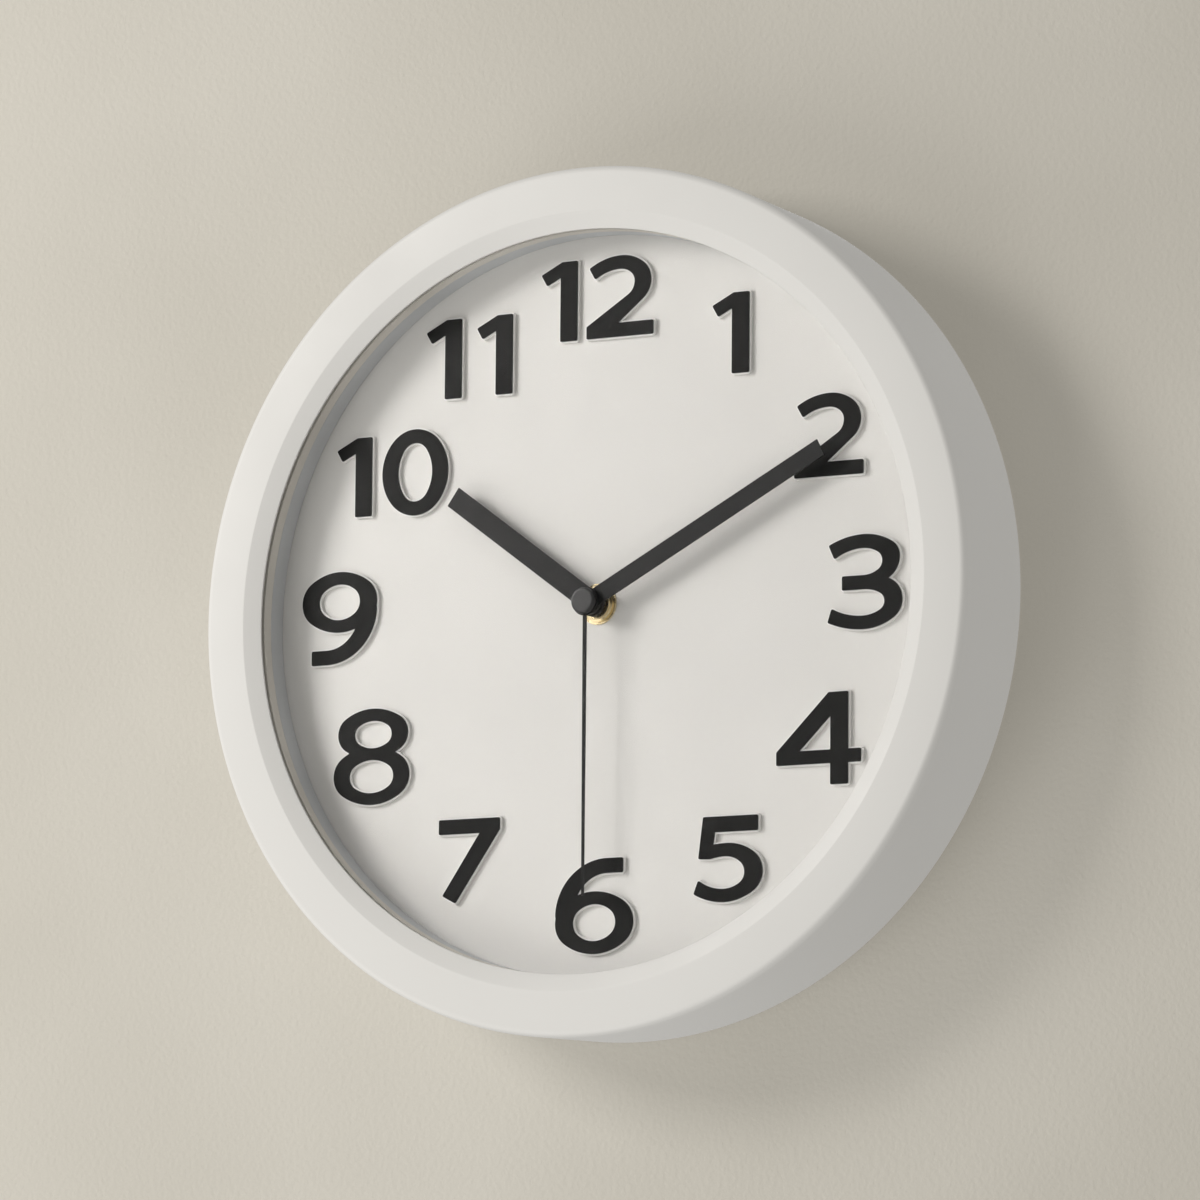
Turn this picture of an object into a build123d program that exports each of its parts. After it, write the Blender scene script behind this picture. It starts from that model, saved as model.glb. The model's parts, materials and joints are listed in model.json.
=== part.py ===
from build123d import *
import os
from math import atan2, cos, pi, radians, sin

# Round wall clock, 300 mm across, with raised numerals and a quartz movement.
# Frame: the hands' axis is the Y axis, the wall is the plane y = 0 and the clock
# stands out of it towards -Y, with 12 o'clock towards +Z.
# "depth" is always counted from the front rim towards the wall, in millimetres.

os.makedirs("parts", exist_ok=True)

# ---------------------------------------------------------------- driving dimensions
CASE_DEPTH = 43.0
CASE_RADIUS = 150.0
CASE_REAR_RADIUS = 148.6
CASE_WALL = 2.2
EDGE_ROUND = 2.4
CHAMFER_OUTER = 134.2
CHAMFER_DROP = 2.2
LIP_RADIUS = 128.2
LIP_DEPTH = 3.0
LENS_RADIUS = 129.4
LENS_THICKNESS = 1.6
WELL_RADIUS = 131.2
WELL_WALL = 1.8
GASKET_END = 9.0
DIAL_FRONT = 17.0
DIAL_THICKNESS = 2.0
DIAL_RADIUS = 144.5
DIAL_HOLE = 4.2
DIAL_BACK = DIAL_FRONT + DIAL_THICKNESS

SCREW_CIRCLE = 140.0
SCREW_COUNT = 6
BOSS_RADIUS = 3.4
PILOT_RADIUS = 1.1
PILOT_DEPTH = 10.0
SHANK_RADIUS = 1.1
SHANK_LENGTH = 9.0
SCREW_HOLE = 1.5
HEAD_RADIUS = 2.9
HEAD_HEIGHT = 1.8

HANGER_FRONT = 38.5
HANGER_THICKNESS = 1.5
HANGER_HEIGHT = 112.0
HANGER_SPREAD = 22.0
POST_RADIUS = 4.0
KEYHOLE_RADIUS = 4.5
KEYHOLE_SLOT = 2.25
KEYHOLE_RISE = 11.0

NUMERAL_RING = 104.0
NUMERAL_BASE = 1.2
NUMERAL_FACE = 0.4
NUMERAL_MARGIN = 0.5
CORNER_ROUND = 0.5

HOUR_ANGLE = 306.0
MINUTE_ANGLE = 62.5
SECOND_ANGLE = 180.0
HOUR_LENGTH = 69.0
HOUR_WIDTH = 7.6
MINUTE_LENGTH = 101.5
MINUTE_WIDTH = 6.2
SECOND_LENGTH = 101.0
BLADE = 0.6

STEM_RADIUS = 4.0
STEM_BORE = 2.57
STEM_FRONT = 14.0
HOUR_TUBE = 2.5
HOUR_BORE = 1.72
MINUTE_TUBE = 1.65
MINUTE_BORE = 0.5
SECOND_ARBOR = 0.45

MOVEMENT_SIZE = 56.0
MOVEMENT_FRONT = 20.0
MOVEMENT_DEPTH = 16.0
MOVEMENT_WALL = 1.4
MOVEMENT_BACK = MOVEMENT_FRONT + MOVEMENT_DEPTH
INNER_FRONT = MOVEMENT_FRONT + MOVEMENT_WALL
COVER_FRONT = MOVEMENT_BACK - MOVEMENT_WALL
PIVOT_START = INNER_FRONT - 0.8
PIVOT_END = COVER_FRONT + 0.8
PIVOT_PLAY = 0.04

CELL_RADIUS = 7.1
CELL_LENGTH = 48.8
CELL_HEIGHT = -18.8
CELL_DEPTH = 28.7
BAY_TOP = -11.2

ARBOR = 0.45
KNOB_ARBOR = 0.75
TOOTH_TOP = 0.8
TOOTH_ROOT = 1.15


# ---------------------------------------------------------------- shared helpers
def at_depth(depth, origin=(0, 0)):
    """Plane facing the viewer at a depth behind the front rim, x right and y up."""
    x, z = origin
    return Plane(origin=(x, depth - CASE_DEPTH, z), x_dir=(1, 0, 0), z_dir=(0, -1, 0))


def across(x, depth, z, side=1):
    """Plane across the X axis, facing +X for side 1 and -X for side -1."""
    return Plane(origin=(x, depth - CASE_DEPTH, z), x_dir=(0, 0, 1), z_dir=(side, 0, 0))


def turned(outline):
    """Closed (radius, depth) outline, ready to be revolved about the hands' axis."""
    with BuildSketch(Plane.XY) as section:
        with BuildLine():
            Polyline([(radius, depth - CASE_DEPTH) for radius, depth in outline], close=True)
        make_face()
    return section.sketch


def washer(depth, outer, inner, origin=(0, 0)):
    """Flat ring at a depth, ready to be extruded towards the viewer."""
    with BuildSketch(at_depth(depth, origin)) as ring:
        Circle(outer)
        if inner > 0:
            Circle(inner, mode=Mode.SUBTRACT)
    return ring.sketch


def polar(radius, angle):
    """Point at a clock angle, in degrees clockwise from 12."""
    return radius * sin(radians(angle)), radius * cos(radians(angle))


def gear(depth, teeth, module, aim, bore, origin=(0, 0)):
    """Spur gear outline with one tooth centred on the direction aim, in radians."""
    pitch = module * teeth / 2
    root = pitch - TOOTH_ROOT * module
    tip = pitch + TOOTH_TOP * module
    flank = (
        (root, -0.8 * module / root),
        (pitch, -0.2 * 2 * pi / teeth),
        (tip, -0.28 * module / tip),
        (tip, 0.28 * module / tip),
        (pitch, 0.2 * 2 * pi / teeth),
        (root, 0.8 * module / root),
    )
    points = []
    for tooth in range(teeth):
        middle = aim + tooth * 2 * pi / teeth
        for radius, spread in flank:
            points.append((radius * cos(middle + spread), radius * sin(middle + spread)))
    with BuildSketch(at_depth(depth, origin)) as outline:
        with BuildLine():
            Polyline(points, close=True)
        make_face()
        if bore > 0:
            Circle(bore, mode=Mode.SUBTRACT)
    return outline.sketch


def gap_aim(direction, teeth):
    """Aim that puts a gap, not a tooth, on a direction."""
    return direction + pi / teeth


# ---------------------------------------------------------------- case
with BuildPart() as case:
    revolve(
        turned(
            [
                (LIP_RADIUS, CHAMFER_DROP),
                (CHAMFER_OUTER, 0),
                (CASE_RADIUS, 0),
                (CASE_REAR_RADIUS, CASE_DEPTH),
                (CASE_REAR_RADIUS - CASE_WALL, CASE_DEPTH),
                (CASE_RADIUS - CASE_WALL, CASE_WALL + 0.4),
                (WELL_RADIUS + WELL_WALL, CASE_WALL + 0.4),
                (WELL_RADIUS + WELL_WALL, DIAL_FRONT),
                (WELL_RADIUS, DIAL_FRONT),
                (WELL_RADIUS, LIP_DEPTH),
                (LIP_RADIUS, LIP_DEPTH),
            ]
        ),
        axis=Axis.Y,
    )
    front_edges = case.edges().filter_by(GeomType.CIRCLE).group_by(Axis.Y)[0]
    fillet(front_edges.sort_by(SortBy.RADIUS)[-1], EDGE_ROUND)
    chamfer_edges = case.edges().filter_by(GeomType.CIRCLE).group_by(Axis.Y)[0]
    fillet(chamfer_edges.sort_by(SortBy.RADIUS)[0], 1.2)
    with BuildSketch(at_depth(DIAL_FRONT)):
        with PolarLocations(SCREW_CIRCLE, SCREW_COUNT, start_angle=30):
            Circle(BOSS_RADIUS)
    extrude(amount=DIAL_FRONT - CASE_WALL)
    with BuildSketch(at_depth(DIAL_FRONT)):
        with PolarLocations(SCREW_CIRCLE, SCREW_COUNT, start_angle=30):
            Circle(PILOT_RADIUS)
    extrude(amount=PILOT_DEPTH, mode=Mode.SUBTRACT)
case.part.label = "case"
export_step(case.part, "parts/case.step")

with BuildPart() as lens:
    with BuildSketch(at_depth(LIP_DEPTH + LENS_THICKNESS)):
        Circle(LENS_RADIUS)
    extrude(amount=LENS_THICKNESS)
    fillet(lens.edges().filter_by(GeomType.CIRCLE), 0.3)
lens.part.label = "lens"
export_step(lens.part, "parts/lens.step")

with BuildPart() as lens_gasket:
    lens_back = LIP_DEPTH + LENS_THICKNESS
    extrude(washer(GASKET_END, WELL_RADIUS - 0.1, LIP_RADIUS), amount=GASKET_END - lens_back)
    # collar round the edge of the lens
    extrude(washer(lens_back, WELL_RADIUS - 0.1, LENS_RADIUS + 0.1), amount=LENS_THICKNESS)
lens_gasket.part.label = "lens_gasket"
export_step(lens_gasket.part, "parts/lens_gasket.step")

with BuildPart() as spacer_ring:
    extrude(washer(DIAL_FRONT, WELL_RADIUS - 0.1, LIP_RADIUS + 0.1), amount=DIAL_FRONT - GASKET_END)
    inner_edges = spacer_ring.edges().filter_by(GeomType.CIRCLE).group_by(SortBy.RADIUS)[0]
    chamfer(inner_edges, 0.35)
spacer_ring.part.label = "spacer_ring"
export_step(spacer_ring.part, "parts/spacer_ring.step")

# ---------------------------------------------------------------- dial and its fasteners
with BuildPart() as dial_plate:
    with BuildSketch(at_depth(DIAL_BACK)):
        Circle(DIAL_RADIUS)
        Circle(DIAL_HOLE, mode=Mode.SUBTRACT)
        with PolarLocations(SCREW_CIRCLE, SCREW_COUNT, start_angle=30):
            Circle(SCREW_HOLE, mode=Mode.SUBTRACT)
    extrude(amount=DIAL_THICKNESS)
    # stiffening ring and the two posts that carry the hanger plate
    extrude(washer(DIAL_BACK + 3, 92, 90), amount=3)
    extrude(washer(DIAL_BACK + 3, 44, 42), amount=3)
    with BuildSketch(at_depth(HANGER_FRONT)):
        with Locations((-HANGER_SPREAD, HANGER_HEIGHT), (HANGER_SPREAD, HANGER_HEIGHT)):
            Circle(POST_RADIUS)
            Rectangle(1.6, 16)
    extrude(amount=HANGER_FRONT - DIAL_BACK)
    with BuildSketch(at_depth(HANGER_FRONT)):
        with Locations((-HANGER_SPREAD, HANGER_HEIGHT), (HANGER_SPREAD, HANGER_HEIGHT)):
            Circle(PILOT_RADIUS)
    extrude(amount=PILOT_DEPTH, mode=Mode.SUBTRACT)
dial_plate.part.label = "dial_plate"
export_step(dial_plate.part, "parts/dial_plate.step")

with BuildPart() as hanger_plate:
    with BuildSketch(at_depth(HANGER_FRONT + HANGER_THICKNESS)):
        with Locations((0, HANGER_HEIGHT)):
            RectangleRounded(2 * HANGER_SPREAD + 14, 34, 4)
        with Locations((-HANGER_SPREAD, HANGER_HEIGHT), (HANGER_SPREAD, HANGER_HEIGHT)):
            Circle(SCREW_HOLE, mode=Mode.SUBTRACT)
        with Locations((0, HANGER_HEIGHT - 4)):
            Circle(KEYHOLE_RADIUS, mode=Mode.SUBTRACT)
        with Locations((0, HANGER_HEIGHT - 4 + KEYHOLE_RISE / 2)):
            SlotCenterToCenter(KEYHOLE_RISE, 2 * KEYHOLE_SLOT, rotation=90, mode=Mode.SUBTRACT)
    extrude(amount=HANGER_THICKNESS)
hanger_plate.part.label = "hanger_plate"
export_step(hanger_plate.part, "parts/hanger_plate.step")


# eight identical pan-head screws: six hold the dial, two hold the hanger plate
dial_spots = [polar(SCREW_CIRCLE, 360 / SCREW_COUNT * n) for n in range(SCREW_COUNT)]
hanger_spots = [(-HANGER_SPREAD, HANGER_HEIGHT), (HANGER_SPREAD, HANGER_HEIGHT)]
with BuildPart() as case_screws:
    for seat, spots in ((DIAL_BACK, dial_spots), (HANGER_FRONT + HANGER_THICKNESS, hanger_spots)):
        with BuildSketch(at_depth(seat)):
            with Locations(*spots):
                Circle(SHANK_RADIUS)
        extrude(amount=SHANK_LENGTH)
        with BuildSketch(at_depth(seat + HEAD_HEIGHT)):
            with Locations(*spots):
                Circle(HEAD_RADIUS)
        extrude(amount=HEAD_HEIGHT)
        fillet(case_screws.edges().filter_by(GeomType.CIRCLE).group_by(Axis.Y)[-1], 0.7)
        with BuildSketch(at_depth(seat + HEAD_HEIGHT)):
            with Locations(*spots):
                Rectangle(3.0, 0.6)
                Rectangle(0.6, 3.0)
        extrude(amount=0.9, mode=Mode.SUBTRACT)
case_screws.part.label = "case_screws"
export_step(case_screws.part, "parts/case_screws.step")


# ---------------------------------------------------------------- numerals
# Each digit is drawn about the middle of its own box, in millimetres: upright
# strokes are about 6.7 wide and level strokes about 4.9.
def quarter(level, upright):
    """Quarter of an oval in two tangent arcs, from its level end to its upright end."""
    centre = Vector(level[0], upright[1])
    half_width = abs(upright[0] - level[0])
    half_height = abs(level[1] - upright[1])
    long, short = max(half_width, half_height), min(half_width, half_height)
    slant = (long**2 + short**2) ** 0.5
    small = slant * (slant - (long - short)) / (2 * long)
    large = slant * (slant + (long - short)) / (2 * short)
    lean = atan2(large - short, long - small)
    along_long = long - small + small * cos(lean)
    along_short = small * sin(lean)
    if half_width >= half_height:
        join = (along_long, along_short)
    else:
        join = (along_short, along_long)
    side = 1 if upright[0] > level[0] else -1
    rise = 1 if level[1] > upright[1] else -1
    corner = (centre.X + side * join[0], centre.Y + rise * join[1])
    TangentArc(level, corner, tangent=(side, 0))
    TangentArc(upright, corner, tangent=(0, rise))


def oval(half_width, half_height, x=0.0, z=0.0):
    """Whole oval made of four quarters."""
    for side in (-1, 1):
        for rise in (-1, 1):
            quarter((x, z + rise * half_height), (x + side * half_width, z))


def arm(crown, end):
    """Arc that leaves the crown of a bowl level and runs left to the end of the stroke."""
    TangentArc(crown, end, tangent=(-1, 0))


def digit_zero():
    with BuildSketch() as digit:
        with BuildLine():
            oval(13.4, 15.2)
        make_face()
        with BuildLine():
            oval(7.0, 10.3)
        make_face(mode=Mode.SUBTRACT)
    return digit.sketch


def digit_one():
    with BuildSketch() as digit:
        with BuildLine():
            Polyline(
                [(7.2, -14.2), (7.2, 13.8), (1.2, 13.8), (-7.2, 9.7), (-4.9, 5.8), (0.5, 8.4), (0.5, -14.2)],
                close=True,
            )
        make_face()
    return digit.sketch


def digit_two():
    with BuildSketch() as digit:
        with BuildLine():
            arm((0.6, 14.2), (-12.2, 10.4))
            quarter((0.6, 14.2), (12.2, 5.0))
            TangentArc((12.2, 5.0), (8.9, -1.6), tangent=(0, -1))
            Polyline([(8.9, -1.6), (-0.7, -9.3), (13.2, -9.3), (13.2, -14.2), (-13.2, -14.2), (-13.2, -9.9)])
            Line((-13.2, -9.9), (3.2, 0.2))
            TangentArc((5.8, 4.8), (3.2, 0.2), tangent=(0, -1))
            quarter((-0.2, 9.5), (5.8, 4.8))
            arm((-0.2, 9.5), (-9.9, 6.5))
            Line((-9.9, 6.5), (-12.2, 10.4))
        make_face()
    return digit.sketch


def digit_three():
    with BuildSketch() as digit:
        with BuildLine():
            arm((-0.3, 16.1), (-13.8, 12.9))
            quarter((-0.3, 16.1), (13.1, 8.0))
            TangentArc((13.1, 8.0), (8.9, 0.7), tangent=(0, -1))
            TangentArc((14.1, -6.7), (8.9, 0.7), tangent=(0, 1))
            quarter((-0.6, -16.1), (14.1, -6.7))
            arm((-0.6, -16.1), (-14.2, -13.2))
            Line((-14.2, -13.2), (-12.6, -8.5))
            arm((-0.8, -11.5), (-12.6, -8.5))
            quarter((-0.8, -11.5), (7.4, -7.0))
            quarter((-0.4, -2.6), (7.4, -7.0))
            Polyline([(-0.4, -2.6), (-8.7, -2.6), (-8.7, 2.2), (-0.4, 2.2)])
            quarter((-0.4, 2.2), (6.6, 6.8))
            quarter((-0.9, 11.4), (6.6, 6.8))
            arm((-0.9, 11.4), (-11.6, 8.2))
            Line((-11.6, 8.2), (-13.8, 12.9))
        make_face()
    return digit.sketch


def digit_four():
    with BuildSketch() as digit:
        with BuildLine():
            Polyline(
                [
                    (11.2, 15.4),
                    (11.2, -4.0),
                    (16.1, -4.0),
                    (16.1, -8.6),
                    (11.2, -8.6),
                    (11.2, -15.8),
                    (4.5, -15.8),
                    (4.5, -8.6),
                    (-16.1, -8.6),
                    (-16.1, -4.1),
                    (3.8, 15.4),
                ],
                close=True,
            )
        make_face()
        with BuildLine():
            Polyline([(4.5, 7.4), (4.5, -4.0), (-7.3, -4.0)], close=True)
        make_face(mode=Mode.SUBTRACT)
    return digit.sketch


def digit_five():
    with BuildSketch() as digit:
        with BuildLine():
            Polyline([(-5.7, 5.0), (-5.1, 9.2), (11.5, 9.2), (11.5, 14.5), (-9.6, 14.5)])
            Polyline([(-9.6, 14.5), (-11.4, 0.3), (-6.9, 0.1)])
            arm((-1.2, 0.9), (-6.9, 0.1))
            quarter((-1.2, 0.9), (6.4, -4.7))
            quarter((-1.6, -10.1), (6.4, -4.7))
            arm((-1.6, -10.1), (-11.4, -6.9))
            Line((-11.4, -6.9), (-13.2, -11.5))
            arm((-1.6, -14.6), (-13.2, -11.5))
            quarter((-1.6, -14.6), (13.3, -4.5))
            quarter((-0.2, 5.4), (13.3, -4.5))
            arm((-0.2, 5.4), (-5.7, 5.0))
        make_face()
    return digit.sketch


def digit_six():
    with BuildSketch() as digit:
        with BuildLine():
            oval(15.3, 10.7, z=-5.6)
        make_face()
        with BuildLine():
            quarter((5.0, 16.3), (-15.3, -3.4))
            Polyline([(5.0, 16.3), (11.2, 16.3), (11.2, 11.2), (5.0, 11.2)])
            quarter((5.0, 11.2), (-8.6, -3.4))
            Line((-8.6, -3.4), (-15.3, -3.4))
        make_face()
        with BuildLine():
            oval(8.4, 6.3, z=-5.6)
        make_face(mode=Mode.SUBTRACT)
    return digit.sketch


def digit_seven():
    with BuildSketch() as digit:
        with BuildLine():
            Polyline([(-12.2, 14.4), (12.2, 14.4), (12.2, 10.3), (-5.4, -14.7), (-10.6, -12.0)])
            Polyline([(-10.6, -12.0), (4.2, 9.3), (-12.2, 9.3), (-12.2, 14.4)])
        make_face()
    return digit.sketch


def digit_eight():
    with BuildSketch() as digit:
        with BuildLine():
            oval(14.2, 8.8, x=0.5, z=8.0)
        make_face()
        with BuildLine():
            oval(15.4, 10.2, z=-6.7)
        make_face()
        with BuildLine():
            oval(7.6, 4.8, x=0.6, z=7.7)
        make_face(mode=Mode.SUBTRACT)
        with BuildLine():
            oval(9.0, 5.8, z=-7.0)
        make_face(mode=Mode.SUBTRACT)
    return digit.sketch


def eased(outline):
    """The same outline with its outer corners slightly rounded."""
    with BuildSketch() as digit:
        add(outline)
        offset(amount=-CORNER_ROUND, kind=Kind.ARC)
        offset(amount=CORNER_ROUND, kind=Kind.ARC)
    return digit.sketch


DIGITS = {
    "0": digit_zero(),
    "1": eased(digit_one()),
    "2": eased(digit_two()),
    "3": eased(digit_three()),
    "4": eased(digit_four()),
    "5": eased(digit_five()),
    "6": eased(digit_six()),
    "7": eased(digit_seven()),
    "8": digit_eight(),
    "9": Rot(0, 0, 180) * eased(digit_six()),
}
# how far each digit of a two-digit numeral stands from the numeral's middle
PAIR_SPREAD = {"10": (-15.5, 9.5), "11": (-10.3, 10.3), "12": (-15.3, 8.9)}
# how far some numerals stand off their even places on the ring, across and up
NUMERAL_NUDGE = {3: (0, 1), 4: (-3.5, 1), 7: (2, 4), 8: (0, 4), 9: (0, 1.5), 10: (7, -1), 12: (-0.5, 2.5)}


def numeral_outlines(hour):
    """Digit outlines of one numeral, placed on the dial as seen from the front."""
    x, z = polar(NUMERAL_RING, 30 * hour)
    nudge_x, nudge_z = NUMERAL_NUDGE.get(hour, (0, 0))
    text = str(hour)
    spreads = PAIR_SPREAD.get(text, (0,))
    return [Pos(x + nudge_x + s, z + nudge_z) * DIGITS[d] for d, s in zip(text, spreads)]


def numeral_layer(outlines, back, thickness, margin):
    """One solid for each digit, its outline grown by a margin."""
    with BuildPart() as layer:
        for outline in outlines:
            with BuildSketch(at_depth(back)) as sketch:
                add(outline)
                if margin > 0:
                    offset(amount=margin, kind=Kind.ARC)
            extrude(sketch.sketch, amount=thickness)
    return layer.part


for hour in range(1, 13):
    outlines = numeral_outlines(hour)
    base = numeral_layer(outlines, DIAL_FRONT, NUMERAL_BASE, NUMERAL_MARGIN)
    base.label = f"numeral_{hour}"
    export_step(base, f"parts/numeral_{hour}.step")
    face = numeral_layer(outlines, DIAL_FRONT - NUMERAL_BASE, NUMERAL_FACE, 0)
    face.label = f"numeral_{hour}_face"
    export_step(face, f"parts/numeral_{hour}_face.step")

# ---------------------------------------------------------------- hands
HOUR_HAND_BACK = 12.6
MINUTE_HAND_BACK = 10.2
SECOND_HAND_BACK = 7.9
HOUR_COLLET = 4.7
MINUTE_COLLET = 4.4
CAP_RADIUS = 4.6
FLANGE_RADIUS = 5.0


def blade(length, width, tip_width, angle, inner):
    """Straight blunt blade from the hub, pointing at a clock angle."""
    with BuildSketch() as outline:
        with BuildLine():
            Polyline(
                [(0, -width / 2), (length, -tip_width / 2), (length, tip_width / 2), (0, width / 2)],
                close=True,
            )
        make_face()
        Circle(inner, mode=Mode.SUBTRACT)
    return Rot(0, 0, 90 - angle) * outline.sketch


with BuildPart() as hour_hand:
    with BuildSketch(at_depth(HOUR_HAND_BACK)) as hour_blade:
        add(blade(HOUR_LENGTH, HOUR_WIDTH, HOUR_WIDTH, HOUR_ANGLE, HOUR_TUBE))
        Circle(HOUR_COLLET)
        Circle(HOUR_TUBE, mode=Mode.SUBTRACT)
    extrude(amount=BLADE)
    extrude(washer(13.7, HOUR_COLLET, HOUR_TUBE), amount=13.7 - HOUR_HAND_BACK)
    extrude(washer(HOUR_HAND_BACK - BLADE, HOUR_COLLET - 0.2, HOUR_TUBE), amount=0.5)
hour_hand.part.label = "hour_hand"
export_step(hour_hand.part, "parts/hour_hand.step")

with BuildPart() as minute_hand:
    with BuildSketch(at_depth(MINUTE_HAND_BACK)) as minute_blade:
        add(blade(MINUTE_LENGTH, MINUTE_WIDTH, MINUTE_WIDTH, MINUTE_ANGLE, MINUTE_TUBE))
        Circle(MINUTE_COLLET)
        Circle(MINUTE_TUBE, mode=Mode.SUBTRACT)
    extrude(amount=BLADE)
    extrude(washer(11.2, MINUTE_COLLET, MINUTE_TUBE), amount=11.2 - MINUTE_HAND_BACK)
    extrude(washer(MINUTE_HAND_BACK - BLADE, MINUTE_COLLET - 0.2, 1.8), amount=1.3)
minute_hand.part.label = "minute_hand"
export_step(minute_hand.part, "parts/minute_hand.step")

with BuildPart() as second_hand:
    with BuildSketch(at_depth(SECOND_HAND_BACK)) as second_blade:
        add(blade(SECOND_LENGTH, 1.5, 1.0, SECOND_ANGLE, SECOND_ARBOR))
        Circle(FLANGE_RADIUS)
        Circle(SECOND_ARBOR, mode=Mode.SUBTRACT)
    extrude(amount=0.4)
    extrude(washer(9.1, 1.4, SECOND_ARBOR), amount=9.1 - SECOND_HAND_BACK)
second_hand.part.label = "second_hand"
export_step(second_hand.part, "parts/second_hand.step")

with BuildPart() as second_cap:
    extrude(washer(7.4, CAP_RADIUS, 0), amount=1.9)
    fillet(second_cap.edges().filter_by(GeomType.CIRCLE).group_by(Axis.Y)[0], 1.0)
    extrude(washer(7.5, 3.9, 0), amount=0.1)
second_cap.part.label = "second_cap"
export_step(second_cap.part, "parts/second_cap.step")

# ---------------------------------------------------------------- stem, nut and washers
with BuildPart() as threaded_stem:
    revolve(
        turned(
            [
                (STEM_BORE, STEM_FRONT),
                (STEM_RADIUS - 0.4, STEM_FRONT),
                (STEM_RADIUS, STEM_FRONT + 0.4),
                (STEM_RADIUS, INNER_FRONT),
                (STEM_BORE, INNER_FRONT),
            ]
        ),
        axis=Axis.Y,
    )
threaded_stem.part.label = "threaded_stem"
export_step(threaded_stem.part, "parts/threaded_stem.step")

with BuildPart() as nut_washer:
    extrude(washer(DIAL_FRONT, 7.1, STEM_RADIUS + 0.1), amount=0.6)
    fillet(nut_washer.edges().filter_by(GeomType.CIRCLE).group_by(Axis.Y)[0], 0.15)
nut_washer.part.label = "nut_washer"
export_step(nut_washer.part, "parts/nut_washer.step")

with BuildPart() as stem_nut:
    revolve(
        turned(
            [
                (STEM_RADIUS, 14.7),
                (5.3, 14.7),
                (5.5, 14.9),
                (5.5, 15.4),
                (6.2, 15.6),
                (6.2, 16.4),
                (STEM_RADIUS, 16.4),
            ]
        ),
        axis=Axis.Y,
    )
stem_nut.part.label = "stem_nut"
export_step(stem_nut.part, "parts/stem_nut.step")

with BuildPart() as rubber_washer:
    extrude(washer(MOVEMENT_FRONT, 9.0, STEM_RADIUS + 0.1), amount=MOVEMENT_FRONT - DIAL_BACK)
rubber_washer.part.label = "rubber_washer"
export_step(rubber_washer.part, "parts/rubber_washer.step")

# ---------------------------------------------------------------- gear train layout
# Every axis is parallel to the hands' axis; directions are in radians from +X to +Z.
CENTRE_TO_THIRD = 9.18
CENTRE_TO_MOTION = 9.6
CENTRE_TO_MIDDLE = 9.0
MIDDLE_TO_ROTOR = 7.7
THIRD_DIRECTION = radians(20)
MOTION_DIRECTION = radians(150)
MIDDLE_DIRECTION = radians(95)
ROTOR_DIRECTION = radians(60)


def step_from(start, distance, direction):
    """Point at a distance and direction from another axis."""
    return start[0] + distance * cos(direction), start[1] + distance * sin(direction)


THIRD_AXIS = step_from((0, 0), CENTRE_TO_THIRD, THIRD_DIRECTION)
MOTION_AXIS = step_from((0, 0), CENTRE_TO_MOTION, MOTION_DIRECTION)
MIDDLE_AXIS = step_from((0, 0), CENTRE_TO_MIDDLE, MIDDLE_DIRECTION)
ROTOR_AXIS = step_from(MIDDLE_AXIS, MIDDLE_TO_ROTOR, ROTOR_DIRECTION)

with BuildPart() as hour_wheel:
    aim = gap_aim(MOTION_DIRECTION, 40)
    extrude(gear(23.0, 40, 0.384, aim, HOUR_BORE), amount=1.0)
    extrude(washer(22.0, HOUR_TUBE, HOUR_BORE), amount=22.0 - HOUR_HAND_BACK + BLADE)
hour_wheel.part.label = "hour_wheel"
export_step(hour_wheel.part, "parts/hour_wheel.step")

with BuildPart() as minute_arbor:
    extrude(gear(25.0, 12, 0.4, MOTION_DIRECTION, MINUTE_BORE), amount=1.4)
    extrude(washer(26.9, MINUTE_TUBE, MINUTE_BORE), amount=26.9 - MINUTE_HAND_BACK + BLADE)
minute_arbor.part.label = "minute_arbor"
export_step(minute_arbor.part, "parts/minute_arbor.step")

with BuildPart() as minute_drive_wheel:
    extrude(gear(26.6, 64, 0.255, THIRD_DIRECTION, 5.5), amount=0.8)
    extrude(washer(26.6, 3.0, MINUTE_TUBE + 0.05), amount=1.1)
    with BuildSketch(at_depth(26.6)):
        with PolarLocations(4.4, 3):
            Rectangle(3.4, 1.2)
    extrude(amount=0.8)
minute_drive_wheel.part.label = "minute_drive_wheel"
export_step(minute_drive_wheel.part, "parts/minute_drive_wheel.step")

with BuildPart() as motion_wheel:
    aim = gap_aim(MOTION_DIRECTION + pi, 36)
    extrude(gear(24.8, 36, 0.4, aim, 0, MOTION_AXIS), amount=1.0)
    extrude(gear(23.8, 10, 0.384, MOTION_DIRECTION + pi, 0, MOTION_AXIS), amount=1.8)
    extrude(washer(MOVEMENT_BACK + 2.6, KNOB_ARBOR, 0, MOTION_AXIS), amount=MOVEMENT_BACK + 2.6 - PIVOT_START)
motion_wheel.part.label = "motion_wheel"
export_step(motion_wheel.part, "parts/motion_wheel.step")

with BuildPart() as setting_knob:
    with BuildSketch(at_depth(MOVEMENT_BACK + 3.4, MOTION_AXIS)):
        Circle(5.0)
        with PolarLocations(5.15, 24):
            Circle(0.35, mode=Mode.SUBTRACT)
    extrude(amount=3.0)
    # dished face that leaves a bar across it for the fingertips
    with BuildSketch(at_depth(MOVEMENT_BACK + 3.4, MOTION_AXIS)):
        Circle(3.4)
        Rectangle(6.8, 1.2, mode=Mode.SUBTRACT)
    extrude(amount=0.6, mode=Mode.SUBTRACT)
    extrude(washer(MOVEMENT_BACK + 2.6, KNOB_ARBOR, 0, MOTION_AXIS), amount=2.6, mode=Mode.SUBTRACT)
setting_knob.part.label = "setting_knob"
export_step(setting_knob.part, "parts/setting_knob.step")

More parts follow.
